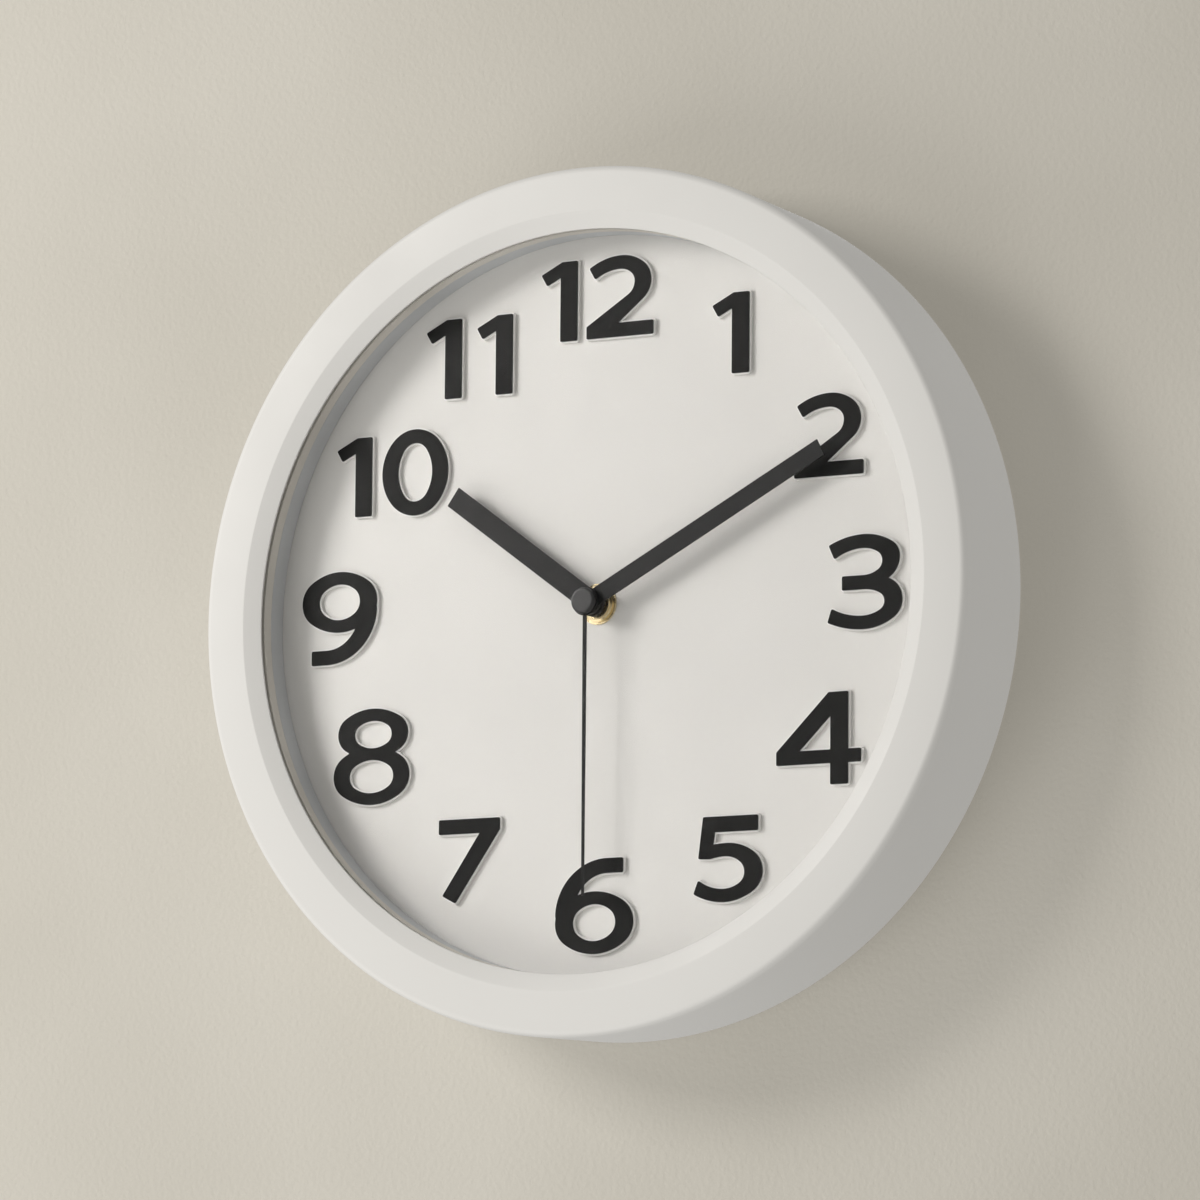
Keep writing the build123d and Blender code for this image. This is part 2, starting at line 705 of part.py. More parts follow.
with BuildPart() as third_wheel:
    aim = gap_aim(THIRD_DIRECTION + pi, 60)
    extrude(gear(28.4, 60, 0.27, aim, 0, THIRD_AXIS), amount=0.8)
    pinion_aim = gap_aim(THIRD_DIRECTION + pi, 8)
    extrude(gear(27.8, 8, 0.255, pinion_aim, 0, THIRD_AXIS), amount=2.3)
    extrude(washer(PIVOT_END, ARBOR, 0, THIRD_AXIS), amount=PIVOT_END - PIVOT_START)
third_wheel.part.label = "third_wheel"
export_step(third_wheel.part, "parts/third_wheel.step")

with BuildPart() as seconds_wheel:
    aim = gap_aim(MIDDLE_DIRECTION, 50)
    extrude(gear(30.2, 50, 0.3, aim, 0), amount=0.8)
    extrude(gear(29.6, 8, 0.27, THIRD_DIRECTION, 0), amount=2.2)
    extrude(washer(PIVOT_END, SECOND_ARBOR, 0), amount=PIVOT_END - 7.5)
seconds_wheel.part.label = "seconds_wheel"
export_step(seconds_wheel.part, "parts/seconds_wheel.step")

with BuildPart() as middle_wheel:
    aim = gap_aim(ROTOR_DIRECTION, 60)
    extrude(gear(32.0, 60, 0.22, aim, 0, MIDDLE_AXIS), amount=0.8)
    extrude(gear(31.4, 10, 0.3, MIDDLE_DIRECTION + pi, 0, MIDDLE_AXIS), amount=2.2)
    extrude(washer(PIVOT_END, ARBOR, 0, MIDDLE_AXIS), amount=PIVOT_END - PIVOT_START)
middle_wheel.part.label = "middle_wheel"
export_step(middle_wheel.part, "parts/middle_wheel.step")

with BuildPart() as rotor:
    extrude(gear(32.2, 10, 0.22, ROTOR_DIRECTION + pi, 0, ROTOR_AXIS), amount=1.2)
    extrude(washer(30.3, 3.2, 0, ROTOR_AXIS), amount=2.8)
    extrude(washer(PIVOT_END, ARBOR, 0, ROTOR_AXIS), amount=PIVOT_END - PIVOT_START)
rotor.part.label = "rotor"
export_step(rotor.part, "parts/rotor.step")

# ---------------------------------------------------------------- motor and electronics
COIL_HEIGHT = 22.6
COIL_LENGTH = 18.0
COIL_MIDDLE = 4.0
STATOR_BACK = 29.4
STATOR_TOP = COIL_HEIGHT + 3.5
STATOR_BOTTOM = ROTOR_AXIS[1] - 4.5

with BuildPart() as stator:
    with BuildSketch(at_depth(STATOR_BACK)):
        with Locations((COIL_MIDDLE, (STATOR_TOP + STATOR_BOTTOM) / 2)):
            Rectangle(COIL_LENGTH + 9, STATOR_TOP - STATOR_BOTTOM)
        with Locations((COIL_MIDDLE, COIL_HEIGHT - 1.9)):
            Rectangle(COIL_LENGTH, 3.4, mode=Mode.SUBTRACT)
        with Locations((COIL_MIDDLE, COIL_HEIGHT + 3.0)):
            Rectangle(COIL_LENGTH, 4.0, mode=Mode.SUBTRACT)
        with Locations(ROTOR_AXIS):
            Circle(3.7, mode=Mode.SUBTRACT)
    extrude(amount=0.8)
stator.part.label = "stator"
export_step(stator.part, "parts/stator.step")


def coil_plane(x):
    """Plane across the coil's core, at a distance along X."""
    return across(x, STATOR_BACK - 0.4, COIL_HEIGHT + 0.4)


BOBBIN_START = COIL_MIDDLE - COIL_LENGTH / 2 + 0.3
BOBBIN_LENGTH = COIL_LENGTH - 0.6
with BuildPart() as coil_bobbin:
    with BuildSketch(coil_plane(BOBBIN_START)):
        Rectangle(2.6, 2.4)
    extrude(amount=BOBBIN_LENGTH)
    with BuildSketch(coil_plane(BOBBIN_START), coil_plane(BOBBIN_START + BOBBIN_LENGTH - 0.8)):
        RectangleRounded(6.6, 6.6, 0.8)
    extrude(amount=0.8)
    with BuildSketch(coil_plane(BOBBIN_START)):
        Rectangle(1.3, 1.0)
    extrude(amount=BOBBIN_LENGTH, mode=Mode.SUBTRACT)
coil_bobbin.part.label = "coil_bobbin"
export_step(coil_bobbin.part, "parts/coil_bobbin.step")

with BuildPart() as coil_winding:
    with BuildSketch(coil_plane(BOBBIN_START + 0.8)):
        RectangleRounded(5.8, 5.8, 1.6)
        Rectangle(2.6, 2.4, mode=Mode.SUBTRACT)
    extrude(amount=BOBBIN_LENGTH - 1.6)
coil_winding.part.label = "coil_winding"
export_step(coil_winding.part, "parts/coil_winding.step")

BOARD_BACK = 30.6
with BuildPart() as circuit_board:
    with BuildSketch(at_depth(BOARD_BACK)):
        with Locations((-18.0, 19.5)):
            Rectangle(15.0, 13.0)
        with Locations((-23.5, 15.0)):
            Circle(0.8, mode=Mode.SUBTRACT)
    extrude(amount=1.0)
circuit_board.part.label = "circuit_board"
export_step(circuit_board.part, "parts/circuit_board.step")

with BuildPart() as chip_cover:
    with BuildSketch(at_depth(BOARD_BACK + 1.0)):
        with Locations((-19.0, 20.5)):
            Circle(3.0)
    extrude(amount=1.0, taper=-25)
    fillet(chip_cover.edges().group_by(Axis.Y)[-1], 0.4)
chip_cover.part.label = "chip_cover"
export_step(chip_cover.part, "parts/chip_cover.step")

with BuildPart() as crystal:
    with BuildSketch(Plane.XY.offset(15.0)):
        with Locations((-13.0, BOARD_BACK + 1.1 - CASE_DEPTH)):
            Circle(1.0)
    extrude(amount=6.0)
    fillet(crystal.edges().filter_by(GeomType.CIRCLE), 0.3)
crystal.part.label = "crystal"
export_step(crystal.part, "parts/crystal.step")

# ---------------------------------------------------------------- battery and contacts
CELL_HALF = CELL_LENGTH / 2
with BuildPart() as battery:
    with BuildSketch(across(-CELL_HALF, CELL_DEPTH, CELL_HEIGHT)):
        Circle(CELL_RADIUS)
    extrude(amount=CELL_LENGTH)
    fillet(battery.edges().filter_by(GeomType.CIRCLE), 0.6)
    with BuildSketch(across(CELL_HALF, CELL_DEPTH, CELL_HEIGHT)):
        Circle(2.6)
    extrude(amount=1.0)
battery.part.label = "battery"
export_step(battery.part, "parts/battery.step")

INNER_HALF = MOVEMENT_SIZE / 2 - MOVEMENT_WALL
with BuildPart() as positive_contact:
    with BuildSketch(across(INNER_HALF, CELL_DEPTH, CELL_HEIGHT, -1)):
        Rectangle(11.0, 9.0)
    extrude(amount=0.4)
    with BuildSketch(across(INNER_HALF - 0.4, CELL_DEPTH, CELL_HEIGHT, -1)):
        Circle(2.2)
    extrude(amount=0.6)
positive_contact.part.label = "positive_contact"
export_step(positive_contact.part, "parts/positive_contact.step")

# leaf spring: a flat foot on the bay's end wall, folded back towards the cell
cell_y = CELL_DEPTH - CASE_DEPTH
with BuildPart() as negative_contact:
    with BuildSketch(Plane.XY.offset(CELL_HEIGHT - 3)):
        with BuildLine():
            leaf = Polyline(
                [
                    (-INNER_HALF + 0.2, cell_y + 5.0),
                    (-INNER_HALF + 0.2, cell_y - 5.4),
                    (-CELL_HALF - 0.4, cell_y - 2.0),
                    (-CELL_HALF - 0.4, cell_y + 2.0),
                    (-INNER_HALF + 0.8, cell_y + 4.0),
                ]
            )
            offset(leaf, amount=0.15, side=Side.BOTH, kind=Kind.ARC)
        make_face()
    extrude(amount=6.0)
negative_contact.part.label = "negative_contact"
export_step(negative_contact.part, "parts/negative_contact.step")

# ---------------------------------------------------------------- movement housing
HALF = MOVEMENT_SIZE / 2
with BuildPart() as movement_case:
    with BuildSketch(at_depth(COVER_FRONT)):
        RectangleRounded(MOVEMENT_SIZE, MOVEMENT_SIZE, 3.0)
    extrude(amount=COVER_FRONT - MOVEMENT_FRONT)
    with BuildSketch(at_depth(MOVEMENT_BACK)):
        with Locations((0, (BAY_TOP - HALF) / 2)):
            Rectangle(MOVEMENT_SIZE, HALF + BAY_TOP)
    extrude(amount=MOVEMENT_WALL)
    with BuildSketch(at_depth(COVER_FRONT)):
        with Locations((0, (HALF - MOVEMENT_WALL + BAY_TOP + 1.0) / 2)):
            Rectangle(2 * INNER_HALF, HALF - MOVEMENT_WALL - BAY_TOP - 1.0)
    extrude(amount=COVER_FRONT - INNER_FRONT, mode=Mode.SUBTRACT)
    with BuildSketch(at_depth(MOVEMENT_BACK)):
        with Locations((0, (BAY_TOP - INNER_HALF) / 2)):
            Rectangle(2 * INNER_HALF, INNER_HALF + BAY_TOP)
    extrude(amount=MOVEMENT_BACK - INNER_FRONT, mode=Mode.SUBTRACT)
    extrude(washer(INNER_FRONT, STEM_RADIUS, 0), amount=MOVEMENT_WALL, mode=Mode.SUBTRACT)
    for axis in (THIRD_AXIS, MIDDLE_AXIS, ROTOR_AXIS):
        extrude(washer(INNER_FRONT, ARBOR + PIVOT_PLAY, 0, axis), amount=1.0, mode=Mode.SUBTRACT)
    extrude(washer(INNER_FRONT, KNOB_ARBOR + PIVOT_PLAY, 0, MOTION_AXIS), amount=1.0, mode=Mode.SUBTRACT)
movement_case.part.label = "movement_case"
export_step(movement_case.part, "parts/movement_case.step")

COVER_BOTTOM = BAY_TOP + 0.2
with BuildPart() as movement_cover:
    with BuildSketch(at_depth(MOVEMENT_BACK)):
        with Locations((0, (HALF + COVER_BOTTOM) / 2)):
            Rectangle(MOVEMENT_SIZE, HALF - COVER_BOTTOM)
    extrude(amount=MOVEMENT_WALL)
    fillet(movement_cover.edges().filter_by(Axis.Y).group_by(Axis.Z)[-1], 3.0)
    for axis in (THIRD_AXIS, MIDDLE_AXIS, ROTOR_AXIS, (0, 0)):
        extrude(washer(COVER_FRONT + 1.0, ARBOR + PIVOT_PLAY, 0, axis), amount=1.0, mode=Mode.SUBTRACT)
    knob_hole = washer(MOVEMENT_BACK, KNOB_ARBOR + PIVOT_PLAY, 0, MOTION_AXIS)
    extrude(knob_hole, amount=MOVEMENT_WALL, mode=Mode.SUBTRACT)
movement_cover.part.label = "movement_cover"
export_step(movement_cover.part, "parts/movement_cover.step")
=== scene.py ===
import json
from math import cos, pi, radians, sin

import bpy
from mathutils import Matrix, Vector


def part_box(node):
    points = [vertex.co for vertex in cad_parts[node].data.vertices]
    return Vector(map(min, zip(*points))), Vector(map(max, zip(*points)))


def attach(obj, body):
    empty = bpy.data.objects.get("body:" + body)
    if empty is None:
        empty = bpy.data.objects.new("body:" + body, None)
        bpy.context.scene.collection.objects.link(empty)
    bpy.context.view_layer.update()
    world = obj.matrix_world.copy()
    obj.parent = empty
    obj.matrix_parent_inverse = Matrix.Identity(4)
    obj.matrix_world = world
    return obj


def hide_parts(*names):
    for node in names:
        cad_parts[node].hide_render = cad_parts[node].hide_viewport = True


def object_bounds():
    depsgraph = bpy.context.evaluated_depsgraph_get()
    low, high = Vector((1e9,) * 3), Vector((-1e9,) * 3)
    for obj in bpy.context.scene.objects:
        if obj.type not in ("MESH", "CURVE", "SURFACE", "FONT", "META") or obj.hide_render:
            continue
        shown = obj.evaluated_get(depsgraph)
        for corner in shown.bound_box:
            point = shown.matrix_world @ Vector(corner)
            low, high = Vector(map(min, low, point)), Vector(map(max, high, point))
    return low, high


# Wall clock, 300 mm across. Row frame, in metres: the wall is the plane y = 0, the
# clock faces -Y, 12 o'clock is +Z and the hands turn about the Y axis.
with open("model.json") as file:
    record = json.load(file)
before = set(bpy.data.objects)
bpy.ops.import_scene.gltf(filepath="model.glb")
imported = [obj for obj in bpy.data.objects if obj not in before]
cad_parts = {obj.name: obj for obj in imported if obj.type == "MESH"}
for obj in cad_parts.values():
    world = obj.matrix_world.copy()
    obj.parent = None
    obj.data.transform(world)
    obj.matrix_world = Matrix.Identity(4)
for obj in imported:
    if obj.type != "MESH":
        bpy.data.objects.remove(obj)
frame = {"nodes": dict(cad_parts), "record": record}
nodes = frame["nodes"]
cad_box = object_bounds()


def add_object(name, data):
    """New object of the scene with this mesh, lamp or camera."""
    thing = bpy.data.objects.new(name, data)
    bpy.context.scene.collection.objects.link(thing)
    return thing


# ------------------------------------------------------------------ camera
VIEW_AZIMUTH = 30.14
VIEW_ELEVATION = -8.01
VIEW_ROLL = 0.46
VIEW_DISTANCE = 2.385
LENS = 210.0
AIM_RIGHT = 0.0089
AIM_UP = -0.0006


def add_camera():
    """Long lens from the right and a little below, aimed at the front of the case."""
    azimuth = radians(VIEW_AZIMUTH)
    elevation = radians(VIEW_ELEVATION)
    back = Vector(
        (sin(azimuth) * cos(elevation), -cos(azimuth) * cos(elevation), sin(elevation))
    )
    level = Vector((cos(azimuth), sin(azimuth), 0))
    roll = Matrix.Rotation(radians(VIEW_ROLL), 3, back)
    right = roll @ level
    up = roll @ back.cross(level)
    front = Vector((0, cad_box[0].y, 0))
    camera = add_object("camera", bpy.data.cameras.new("camera"))
    camera.data.lens = LENS
    camera.data.clip_start = 0.1
    camera.data.clip_end = 20
    place = front + right * AIM_RIGHT + up * AIM_UP + back * VIEW_DISTANCE
    turn = Matrix((right, up, back)).transposed().to_4x4()
    camera.matrix_world = Matrix.Translation(place) @ turn
    bpy.context.scene.camera = camera


# ------------------------------------------------------------------ lights and stage
WORLD_LIGHT = 0.45
KEY_POWER = 7.5
FILL_POWER = 6.5
BACK_POWER = 3.0
KEY_SIZE = 0.5
FILL_SIZE = 1.2
BACK_SIZE = 0.6
KEY_PLACE = (-1.05, -0.95, 0.5)
FILL_PLACE = (-0.8, -0.85, -0.9)
BACK_PLACE = (-0.9, 1.9, 0.4)
LAMP_AIM = (0, 0, 0)
STAGE_REACH = 3.0
FLOOR_LEVEL = -0.9
WALL_GAP = 0.0005


def add_lamp(name, place, width, power, colour):
    """Soft square lamp at a place, facing LAMP_AIM."""
    lamp = bpy.data.lights.new(name, "AREA")
    lamp.shape = "SQUARE"
    lamp.size = width
    lamp.energy = power
    lamp.color = colour
    thing = add_object(name, lamp)
    thing.location = place
    thing.rotation_mode = "QUATERNION"
    thing.rotation_quaternion = (Vector(LAMP_AIM) - Vector(place)).to_track_quat("-Z", "Y")


def add_lights():
    """Soft key from the upper left, wide fill from below, room light and a weak lamp behind."""
    world = bpy.data.worlds.new("room")
    bpy.context.scene.world = world
    world.use_nodes = True
    background = world.node_tree.nodes["Background"]
    background.inputs["Color"].default_value = (1.0, 0.985, 0.95, 1)
    background.inputs["Strength"].default_value = WORLD_LIGHT
    add_lamp("key", KEY_PLACE, KEY_SIZE, KEY_POWER, (1.0, 0.975, 0.94))
    add_lamp("fill", FILL_PLACE, FILL_SIZE, FILL_POWER, (1.0, 0.99, 0.97))
    add_lamp("rear", BACK_PLACE, BACK_SIZE, BACK_POWER, (1.0, 0.98, 0.96))


def stage_plane(name, corners, material):
    """Flat sheet of the set. It takes light and shadow but throws none on the object."""
    mesh = bpy.data.meshes.new(name)
    mesh.from_pydata(corners, [], [tuple(range(len(corners)))])
    mesh.materials.append(material)
    sheet = add_object(name, mesh)
    sheet.visible_diffuse = False
    sheet.visible_glossy = False
    sheet.visible_shadow = False


def add_stage():
    """Pale plastered wall, seen only from its front, and a pale floor well below."""
    reach = STAGE_REACH
    wall = surface(
        "stage_wall", (0.66, 0.63, 0.56), (0.72, 0.69, 0.62), 0.85, patch=6, grain=520,
        relief=0.00025,
    )
    tree = wall.node_tree
    shader = tree.nodes["Principled BSDF"]
    output = tree.nodes["Material Output"]
    side = tree.nodes.new("ShaderNodeNewGeometry")
    clear = tree.nodes.new("ShaderNodeBsdfTransparent")
    choice = tree.nodes.new("ShaderNodeMixShader")
    tree.links.new(side.outputs["Backfacing"], choice.inputs["Fac"])
    tree.links.new(shader.outputs["BSDF"], choice.inputs[1])
    tree.links.new(clear.outputs["BSDF"], choice.inputs[2])
    tree.links.new(choice.outputs["Shader"], output.inputs["Surface"])
    wall_y = cad_box[1].y + WALL_GAP
    corners = [(-reach, FLOOR_LEVEL), (reach, FLOOR_LEVEL), (reach, reach), (-reach, reach)]
    stage_plane("wall", [(x, wall_y, z) for x, z in corners], wall)
    floor = surface(
        "stage_floor", (0.62, 0.61, 0.58), (0.66, 0.65, 0.62), 0.8, patch=4, grain=400,
        relief=0.0002,
    )
    corners = [(-reach, -reach), (reach, -reach), (reach, reach), (-reach, reach)]
    stage_plane("floor", [(x, y, FLOOR_LEVEL) for x, y in corners], floor)


# ------------------------------------------------------------------ materials
NOISE_LOW = 0.3
NOISE_HIGH = 0.7
LENS_INDEX = 1.12
RING_RADIAN = 0.00035  # metres of radius in which the rings' wave advances one radian
WAVE_RADIANS = 20  # radians a unit in the wave texture at scale 1


def new_material(name):
    """Node material with a lone Principled shader; returns its tree, shader and coordinates."""
    material = bpy.data.materials.new(name)
    material.use_nodes = True
    tree = material.node_tree
    place = tree.nodes.new("ShaderNodeTexCoord").outputs["Object"]
    return material, tree, tree.nodes["Principled BSDF"], place


def noise(tree, place, scale, detail=3.0, stretch=None):
    """Noise value at a scale in waves a metre, stretched along the axes if asked."""
    texture = tree.nodes.new("ShaderNodeTexNoise")
    texture.inputs["Scale"].default_value = scale
    texture.inputs["Detail"].default_value = detail
    if stretch:
        mapping = tree.nodes.new("ShaderNodeMapping")
        mapping.inputs["Scale"].default_value = stretch
        tree.links.new(place, mapping.inputs["Vector"])
        place = mapping.outputs["Vector"]
    tree.links.new(place, texture.inputs["Vector"])
    return texture.outputs["Fac"]


def ramp(tree, value, stops):
    """Colour ramp over a value, from (position, colour) stops."""
    node = tree.nodes.new("ShaderNodeValToRGB")
    elements = node.color_ramp.elements
    while len(elements) < len(stops):
        elements.new(0.5)
    for element, (position, colour) in zip(elements, stops):
        element.position = position
        element.color = (*colour, 1)
    tree.links.new(value, node.inputs["Fac"])
    return node.outputs["Color"]


def spread(tree, value, low, high):
    """Maps a noise value, which mostly lies in NOISE_LOW to NOISE_HIGH, onto low to high."""
    node = tree.nodes.new("ShaderNodeMapRange")
    node.inputs["From Min"].default_value = NOISE_LOW
    node.inputs["From Max"].default_value = NOISE_HIGH
    node.inputs["To Min"].default_value = low
    node.inputs["To Max"].default_value = high
    tree.links.new(value, node.inputs["Value"])
    return node.outputs["Result"]


def bump(tree, height, depth):
    """Bump from a height in 0 to 1 that stands for depth metres."""
    node = tree.nodes.new("ShaderNodeBump")
    node.inputs["Distance"].default_value = depth
    node.inputs["Strength"].default_value = 1.0
    tree.links.new(height, node.inputs["Height"])
    return node.outputs["Normal"]


def surface(
    name, colour, other, roughness, patch=40, grain=1500, relief=0.00003, stretch=None, **sockets
):
    """Even material: two close colours in soft patches, uneven roughness and a fine grain."""
    material, tree, shader, place = new_material(name)
    patches = noise(tree, place, patch)
    mixed = ramp(tree, patches, [(0.35, colour), (0.65, other)])
    tree.links.new(mixed, shader.inputs["Base Color"])
    rough = noise(tree, place, patch * 4, 4)
    rough = spread(tree, rough, max(roughness - 0.06, 0.02), roughness + 0.06)
    tree.links.new(rough, shader.inputs["Roughness"])
    fine = noise(tree, place, grain, 2, stretch)
    tree.links.new(bump(tree, fine, relief), shader.inputs["Normal"])
    for socket, value in sockets.items():
        shader.inputs[socket.replace("_", " ")].default_value = value
    return material


def turned_metal(name, colour, other, roughness):
    """Metal turned on a lathe about the hands' axis, with rings."""
    material, tree, shader, place = new_material(name)
    shader.inputs["Metallic"].default_value = 1.0
    patches = noise(tree, place, 300)
    mixed = ramp(tree, patches, [(0.3, colour), (0.7, other)])
    tree.links.new(mixed, shader.inputs["Base Color"])
    rings = tree.nodes.new("ShaderNodeTexWave")
    rings.wave_type = "RINGS"
    rings.rings_direction = "Y"
    rings.inputs["Scale"].default_value = 1 / RING_RADIAN / WAVE_RADIANS
    rings.inputs["Distortion"].default_value = 0.5
    tree.links.new(place, rings.inputs["Vector"])
    rough = spread(tree, patches, roughness - 0.05, roughness + 0.08)
    tree.links.new(rough, shader.inputs["Roughness"])
    tree.links.new(bump(tree, rings.outputs["Fac"], 0.00001), shader.inputs["Normal"])
    return material


def clear_lens(name):
    """Clear flat cover. Its index is below acrylic's 1.49, to keep glare off the black parts."""
    material, tree, shader, place = new_material(name)
    shader.inputs["Base Color"].default_value = (1, 1, 1, 1)
    shader.inputs["Transmission Weight"].default_value = 1.0
    shader.inputs["IOR"].default_value = LENS_INDEX
    shader.inputs["Specular IOR Level"].default_value = 0.5
    haze = noise(tree, place, 30)
    tree.links.new(spread(tree, haze, 0.0, 0.015), shader.inputs["Roughness"])
    return material


def cell_jacket(name):
    """Printed sleeve of the cell: dark body with a copper-coloured band at the positive end."""
    material, tree, shader, place = new_material(name)
    low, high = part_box("battery")
    axis = tree.nodes.new("ShaderNodeSeparateXYZ")
    tree.links.new(place, axis.inputs["Vector"])
    along = tree.nodes.new("ShaderNodeMapRange")
    along.inputs["From Min"].default_value = low.x
    along.inputs["From Max"].default_value = high.x
    tree.links.new(axis.outputs["X"], along.inputs["Value"])
    bare, dark, copper = (0.72, 0.71, 0.69), (0.03, 0.035, 0.045), (0.72, 0.36, 0.15)
    bands = ramp(tree, along.outputs["Result"], [
        (0.0, bare), (0.02, bare), (0.021, dark), (0.72, dark),
        (0.721, copper), (0.955, copper), (0.956, bare), (1.0, bare),
    ])
    tree.links.new(bands, shader.inputs["Base Color"])
    scuffs = noise(tree, place, 500, 4, (0.2, 1, 1))
    tree.links.new(spread(tree, scuffs, 0.22, 0.38), shader.inputs["Roughness"])
    tree.links.new(bump(tree, scuffs, 0.00001), shader.inputs["Normal"])
    shader.inputs["Metallic"].default_value = 0.7
    return material


def make_materials():
    """One material for each finish of the record."""
    return {
        "case_white": surface(
            "case_white", (0.87, 0.86, 0.835), (0.845, 0.835, 0.81), 0.46, patch=9,
            grain=2600, relief=0.000035,
        ),
        "gasket_grey": surface(
            "gasket_grey", (0.66, 0.63, 0.58), (0.70, 0.67, 0.62), 0.6, patch=30, grain=1500,
        ),
        "spacer_grey": surface(
            "spacer_grey", (0.53, 0.545, 0.56), (0.57, 0.585, 0.60), 0.5, patch=30,
            grain=1500,
        ),
        "dial_white": surface(
            "dial_white", (0.715, 0.705, 0.685), (0.695, 0.685, 0.665), 0.62, patch=14,
            grain=2200, relief=0.00003,
        ),
        "numeral_white": surface(
            "numeral_white", (0.82, 0.815, 0.80), (0.79, 0.785, 0.77), 0.42, patch=60,
            grain=3000, relief=0.00001,
        ),
        "numeral_black": surface(
            "numeral_black", (0.0055, 0.0055, 0.005), (0.0085, 0.0085, 0.008), 0.5, patch=90,
            grain=2600, relief=0.00003, Specular_IOR_Level=0.12,
        ),
        "hand_black": surface(
            "hand_black", (0.009, 0.009, 0.009), (0.013, 0.013, 0.0132), 0.42, patch=120,
            grain=3000, relief=0.00002, Specular_IOR_Level=0.2,
        ),
        "cap_black": surface(
            "cap_black", (0.013, 0.013, 0.014), (0.02, 0.02, 0.021), 0.36, patch=160,
            grain=2500, relief=0.00001,
        ),
        "brass": turned_metal("brass", (0.88, 0.74, 0.47), (0.80, 0.66, 0.40), 0.26),
        "washer_rubber": surface(
            "washer_rubber", (0.02, 0.02, 0.02), (0.03, 0.03, 0.03), 0.8, patch=80, grain=900,
        ),
        "hanger_steel": surface(
            "hanger_steel", (0.60, 0.61, 0.63), (0.52, 0.53, 0.55), 0.38, patch=60, grain=900,
            relief=0.00001, stretch=(0.1, 1, 4), Metallic=1.0,
        ),
        "screw_steel": surface(
            "screw_steel", (0.58, 0.58, 0.57), (0.48, 0.48, 0.48), 0.34, patch=400,
            grain=2500, relief=0.00001, Metallic=1.0,
        ),
        "movement_black": surface(
            "movement_black", (0.018, 0.018, 0.019), (0.026, 0.026, 0.027), 0.55, patch=60,
            grain=2200, relief=0.00006,
        ),
        "gear_white": surface(
            "gear_white", (0.74, 0.73, 0.68), (0.68, 0.67, 0.62), 0.45, patch=200, grain=2500,
        ),
        "gear_red": surface(
            "gear_red", (0.42, 0.05, 0.035), (0.36, 0.04, 0.03), 0.45, patch=200, grain=2500,
        ),
        "knob_white": surface(
            "knob_white", (0.70, 0.69, 0.65), (0.64, 0.63, 0.59), 0.5, patch=200, grain=2500,
        ),
        "magnet": surface(
            "magnet", (0.05, 0.05, 0.055), (0.08, 0.08, 0.085), 0.6, patch=400, grain=3000,
            Metallic=0.6,
        ),
        "stator_steel": surface(
            "stator_steel", (0.50, 0.50, 0.52), (0.42, 0.42, 0.44), 0.36, patch=300,
            grain=1500, relief=0.00001, stretch=(1, 1, 8), Metallic=1.0,
        ),
        "bobbin": surface(
            "bobbin", (0.66, 0.63, 0.54), (0.60, 0.57, 0.48), 0.5, patch=300, grain=2500,
        ),
        "copper": surface(
            "copper", (0.70, 0.27, 0.11), (0.56, 0.20, 0.08), 0.3, patch=500, grain=2500,
            relief=0.00005, stretch=(6, 0.2, 0.2), Metallic=1.0,
        ),
        "board_green": surface(
            "board_green", (0.02, 0.13, 0.05), (0.03, 0.18, 0.07), 0.32, patch=700,
            grain=2500,
        ),
        "epoxy_black": surface(
            "epoxy_black", (0.01, 0.01, 0.011), (0.016, 0.016, 0.017), 0.18, patch=300,
            grain=900,
        ),
        "crystal_can": surface(
            "crystal_can", (0.72, 0.73, 0.75), (0.62, 0.63, 0.65), 0.2, patch=900, grain=3000,
            relief=0.000005, Metallic=1.0,
        ),
        "contact_nickel": surface(
            "contact_nickel", (0.66, 0.65, 0.61), (0.56, 0.55, 0.51), 0.3, patch=600,
            grain=3000, relief=0.000008, Metallic=1.0,
        ),
        "lens_clear": clear_lens("lens_clear"),
        "cell_jacket": cell_jacket("cell_jacket"),
    }


def dress_nodes(materials):
    """Puts each record finish's material on the CAD nodes that have it."""
    for part in frame["record"]["subparts"]:
        mesh = nodes[part["node"]].data
        mesh.materials.clear()
        mesh.materials.append(materials[part["material_slot"]])


# ------------------------------------------------------------------ case, turned finely
CASE_DEPTH = 43.0
RIM_RADIUS = 149.85
REAR_RADIUS = 148.5
WALL = 2.2
FRONT_WALL_EXTRA = 0.4
EDGE_ROUND = 2.4
REAR_ROUND = 0.3
LIP_ROUND = 0.15
CHAMFER_RADIUS = 134.2
CHAMFER_ROUND = 1.2
CHAMFER_DROP = 2.2
LIP_RADIUS = 128.2
LIP_DEPTH = 3.0
WELL_RADIUS = 131.2
WELL_WALL = 1.8
DIAL_DEPTH = 17.0
SHARP_ANGLE = 32


def rounded(corners, steps=8):
    """Closed outline from (radius, depth, rounding) corners, each rounding a circular arc."""
    outline = []
    for index, (x, y, size) in enumerate(corners):
        corner = Vector((x, y))
        if size == 0:
            outline.append(corner)
            continue
        before = (Vector(corners[index - 1][:2]) - corner).normalized()
        after = (Vector(corners[(index + 1) % len(corners)][:2]) - corner).normalized()
        half = before.angle(after) / 2
        centre = corner + (before + after).normalized() * size / sin(half)
        start = corner + before * size * cos(half) / sin(half) - centre
        finish = corner + after * size * cos(half) / sin(half) - centre
        sweep = start.angle_signed(finish)
        for step in range(steps + 1):
            turn = -sweep * step / steps
            outline.append(centre + Vector((
                start.x * cos(turn) - start.y * sin(turn),
                start.x * sin(turn) + start.y * cos(turn),
            )))
    return outline


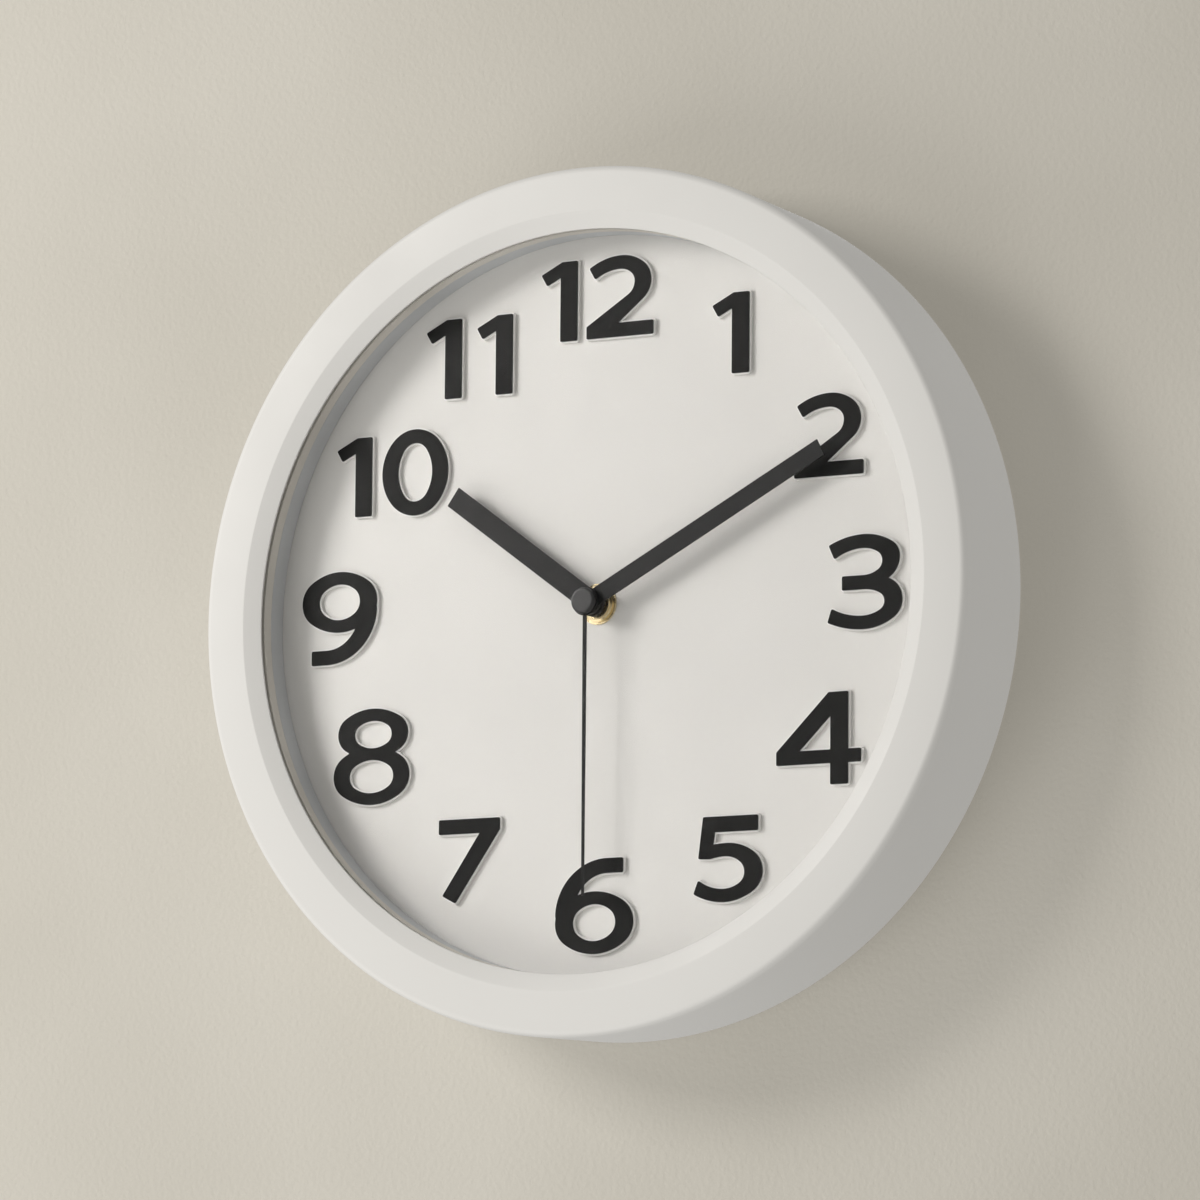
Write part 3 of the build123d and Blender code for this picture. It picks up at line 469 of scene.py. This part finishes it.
def lathe(name, outline, material, segments=320):
    """Ring-shaped solid turned about the hands' axis from a closed outline in millimetres."""
    count = len(outline)
    points = []
    for turn in range(segments):
        angle = 2 * pi * turn / segments
        for radius, depth in outline:
            x, z = radius * cos(angle), radius * sin(angle)
            points.append((x / 1000, (depth - CASE_DEPTH) / 1000, z / 1000))
    faces = []
    for turn in range(segments):
        here, there = turn * count, (turn + 1) % segments * count
        for index in range(count):
            following = (index + 1) % count
            faces.append((here + index, there + index, there + following, here + following))
    mesh = bpy.data.meshes.new(name)
    mesh.from_pydata(points, [], faces)
    mesh.shade_smooth()
    mesh.set_sharp_from_angle(angle=radians(SHARP_ANGLE))
    mesh.materials.append(material)
    return add_object(name, mesh)


def add_case(material):
    """Case shell in place of the coarser CAD mesh.

    Its rim is 0.15 mm smaller, its rear and lip edges are rounded, and it leaves out
    the six screw bosses, which are hidden inside.
    """
    inside = WALL + FRONT_WALL_EXTRA
    outline = rounded([
        (LIP_RADIUS, CHAMFER_DROP, LIP_ROUND),
        (CHAMFER_RADIUS, 0.0, CHAMFER_ROUND),
        (RIM_RADIUS, 0.0, EDGE_ROUND),
        (REAR_RADIUS, CASE_DEPTH, REAR_ROUND),
        (REAR_RADIUS - WALL, CASE_DEPTH, REAR_ROUND),
        (RIM_RADIUS - WALL, inside, 0.0),
        (WELL_RADIUS + WELL_WALL, inside, 0.0),
        (WELL_RADIUS + WELL_WALL, DIAL_DEPTH, 0.0),
        (WELL_RADIUS, DIAL_DEPTH, 0.0),
        (WELL_RADIUS, LIP_DEPTH, 0.0),
        (LIP_RADIUS, LIP_DEPTH, LIP_ROUND),
    ])
    piece = lathe("case_shell", outline, material)
    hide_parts("case")
    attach(piece, "clock")


LENS_RADIUS = 129.35
LENS_FRONT = 3.05
LENS_BACK = 4.55


def add_lens(material, segments=256):
    """Clear disc, 0.05 mm clear of the lip and the gasket, so that no two faces share a plane."""
    angles = [2 * pi * turn / segments for turn in range(segments)]
    ring = [(cos(angle), sin(angle)) for angle in angles]
    points = [
        (x * LENS_RADIUS / 1000, (depth - CASE_DEPTH) / 1000, z * LENS_RADIUS / 1000)
        for depth in (LENS_FRONT, LENS_BACK) for x, z in ring
    ]
    faces = [tuple(range(segments)), tuple(reversed(range(segments, 2 * segments)))]
    for turn in range(segments):
        after = (turn + 1) % segments
        faces.append((after, turn, turn + segments, after + segments))
    mesh = bpy.data.meshes.new("lens_disc")
    mesh.from_pydata(points, [], faces)
    mesh.materials.append(material)
    piece = add_object("lens_disc", mesh)
    piece.visible_shadow = False
    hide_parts("lens")
    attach(piece, "clock")


# ------------------------------------------------------------------ scene
materials = make_materials()
dress_nodes(materials)
add_case(materials["case_white"])
add_lens(materials["lens_clear"])
add_stage()
add_lights()
add_camera()
bpy.context.scene.view_settings.view_transform = "Standard"
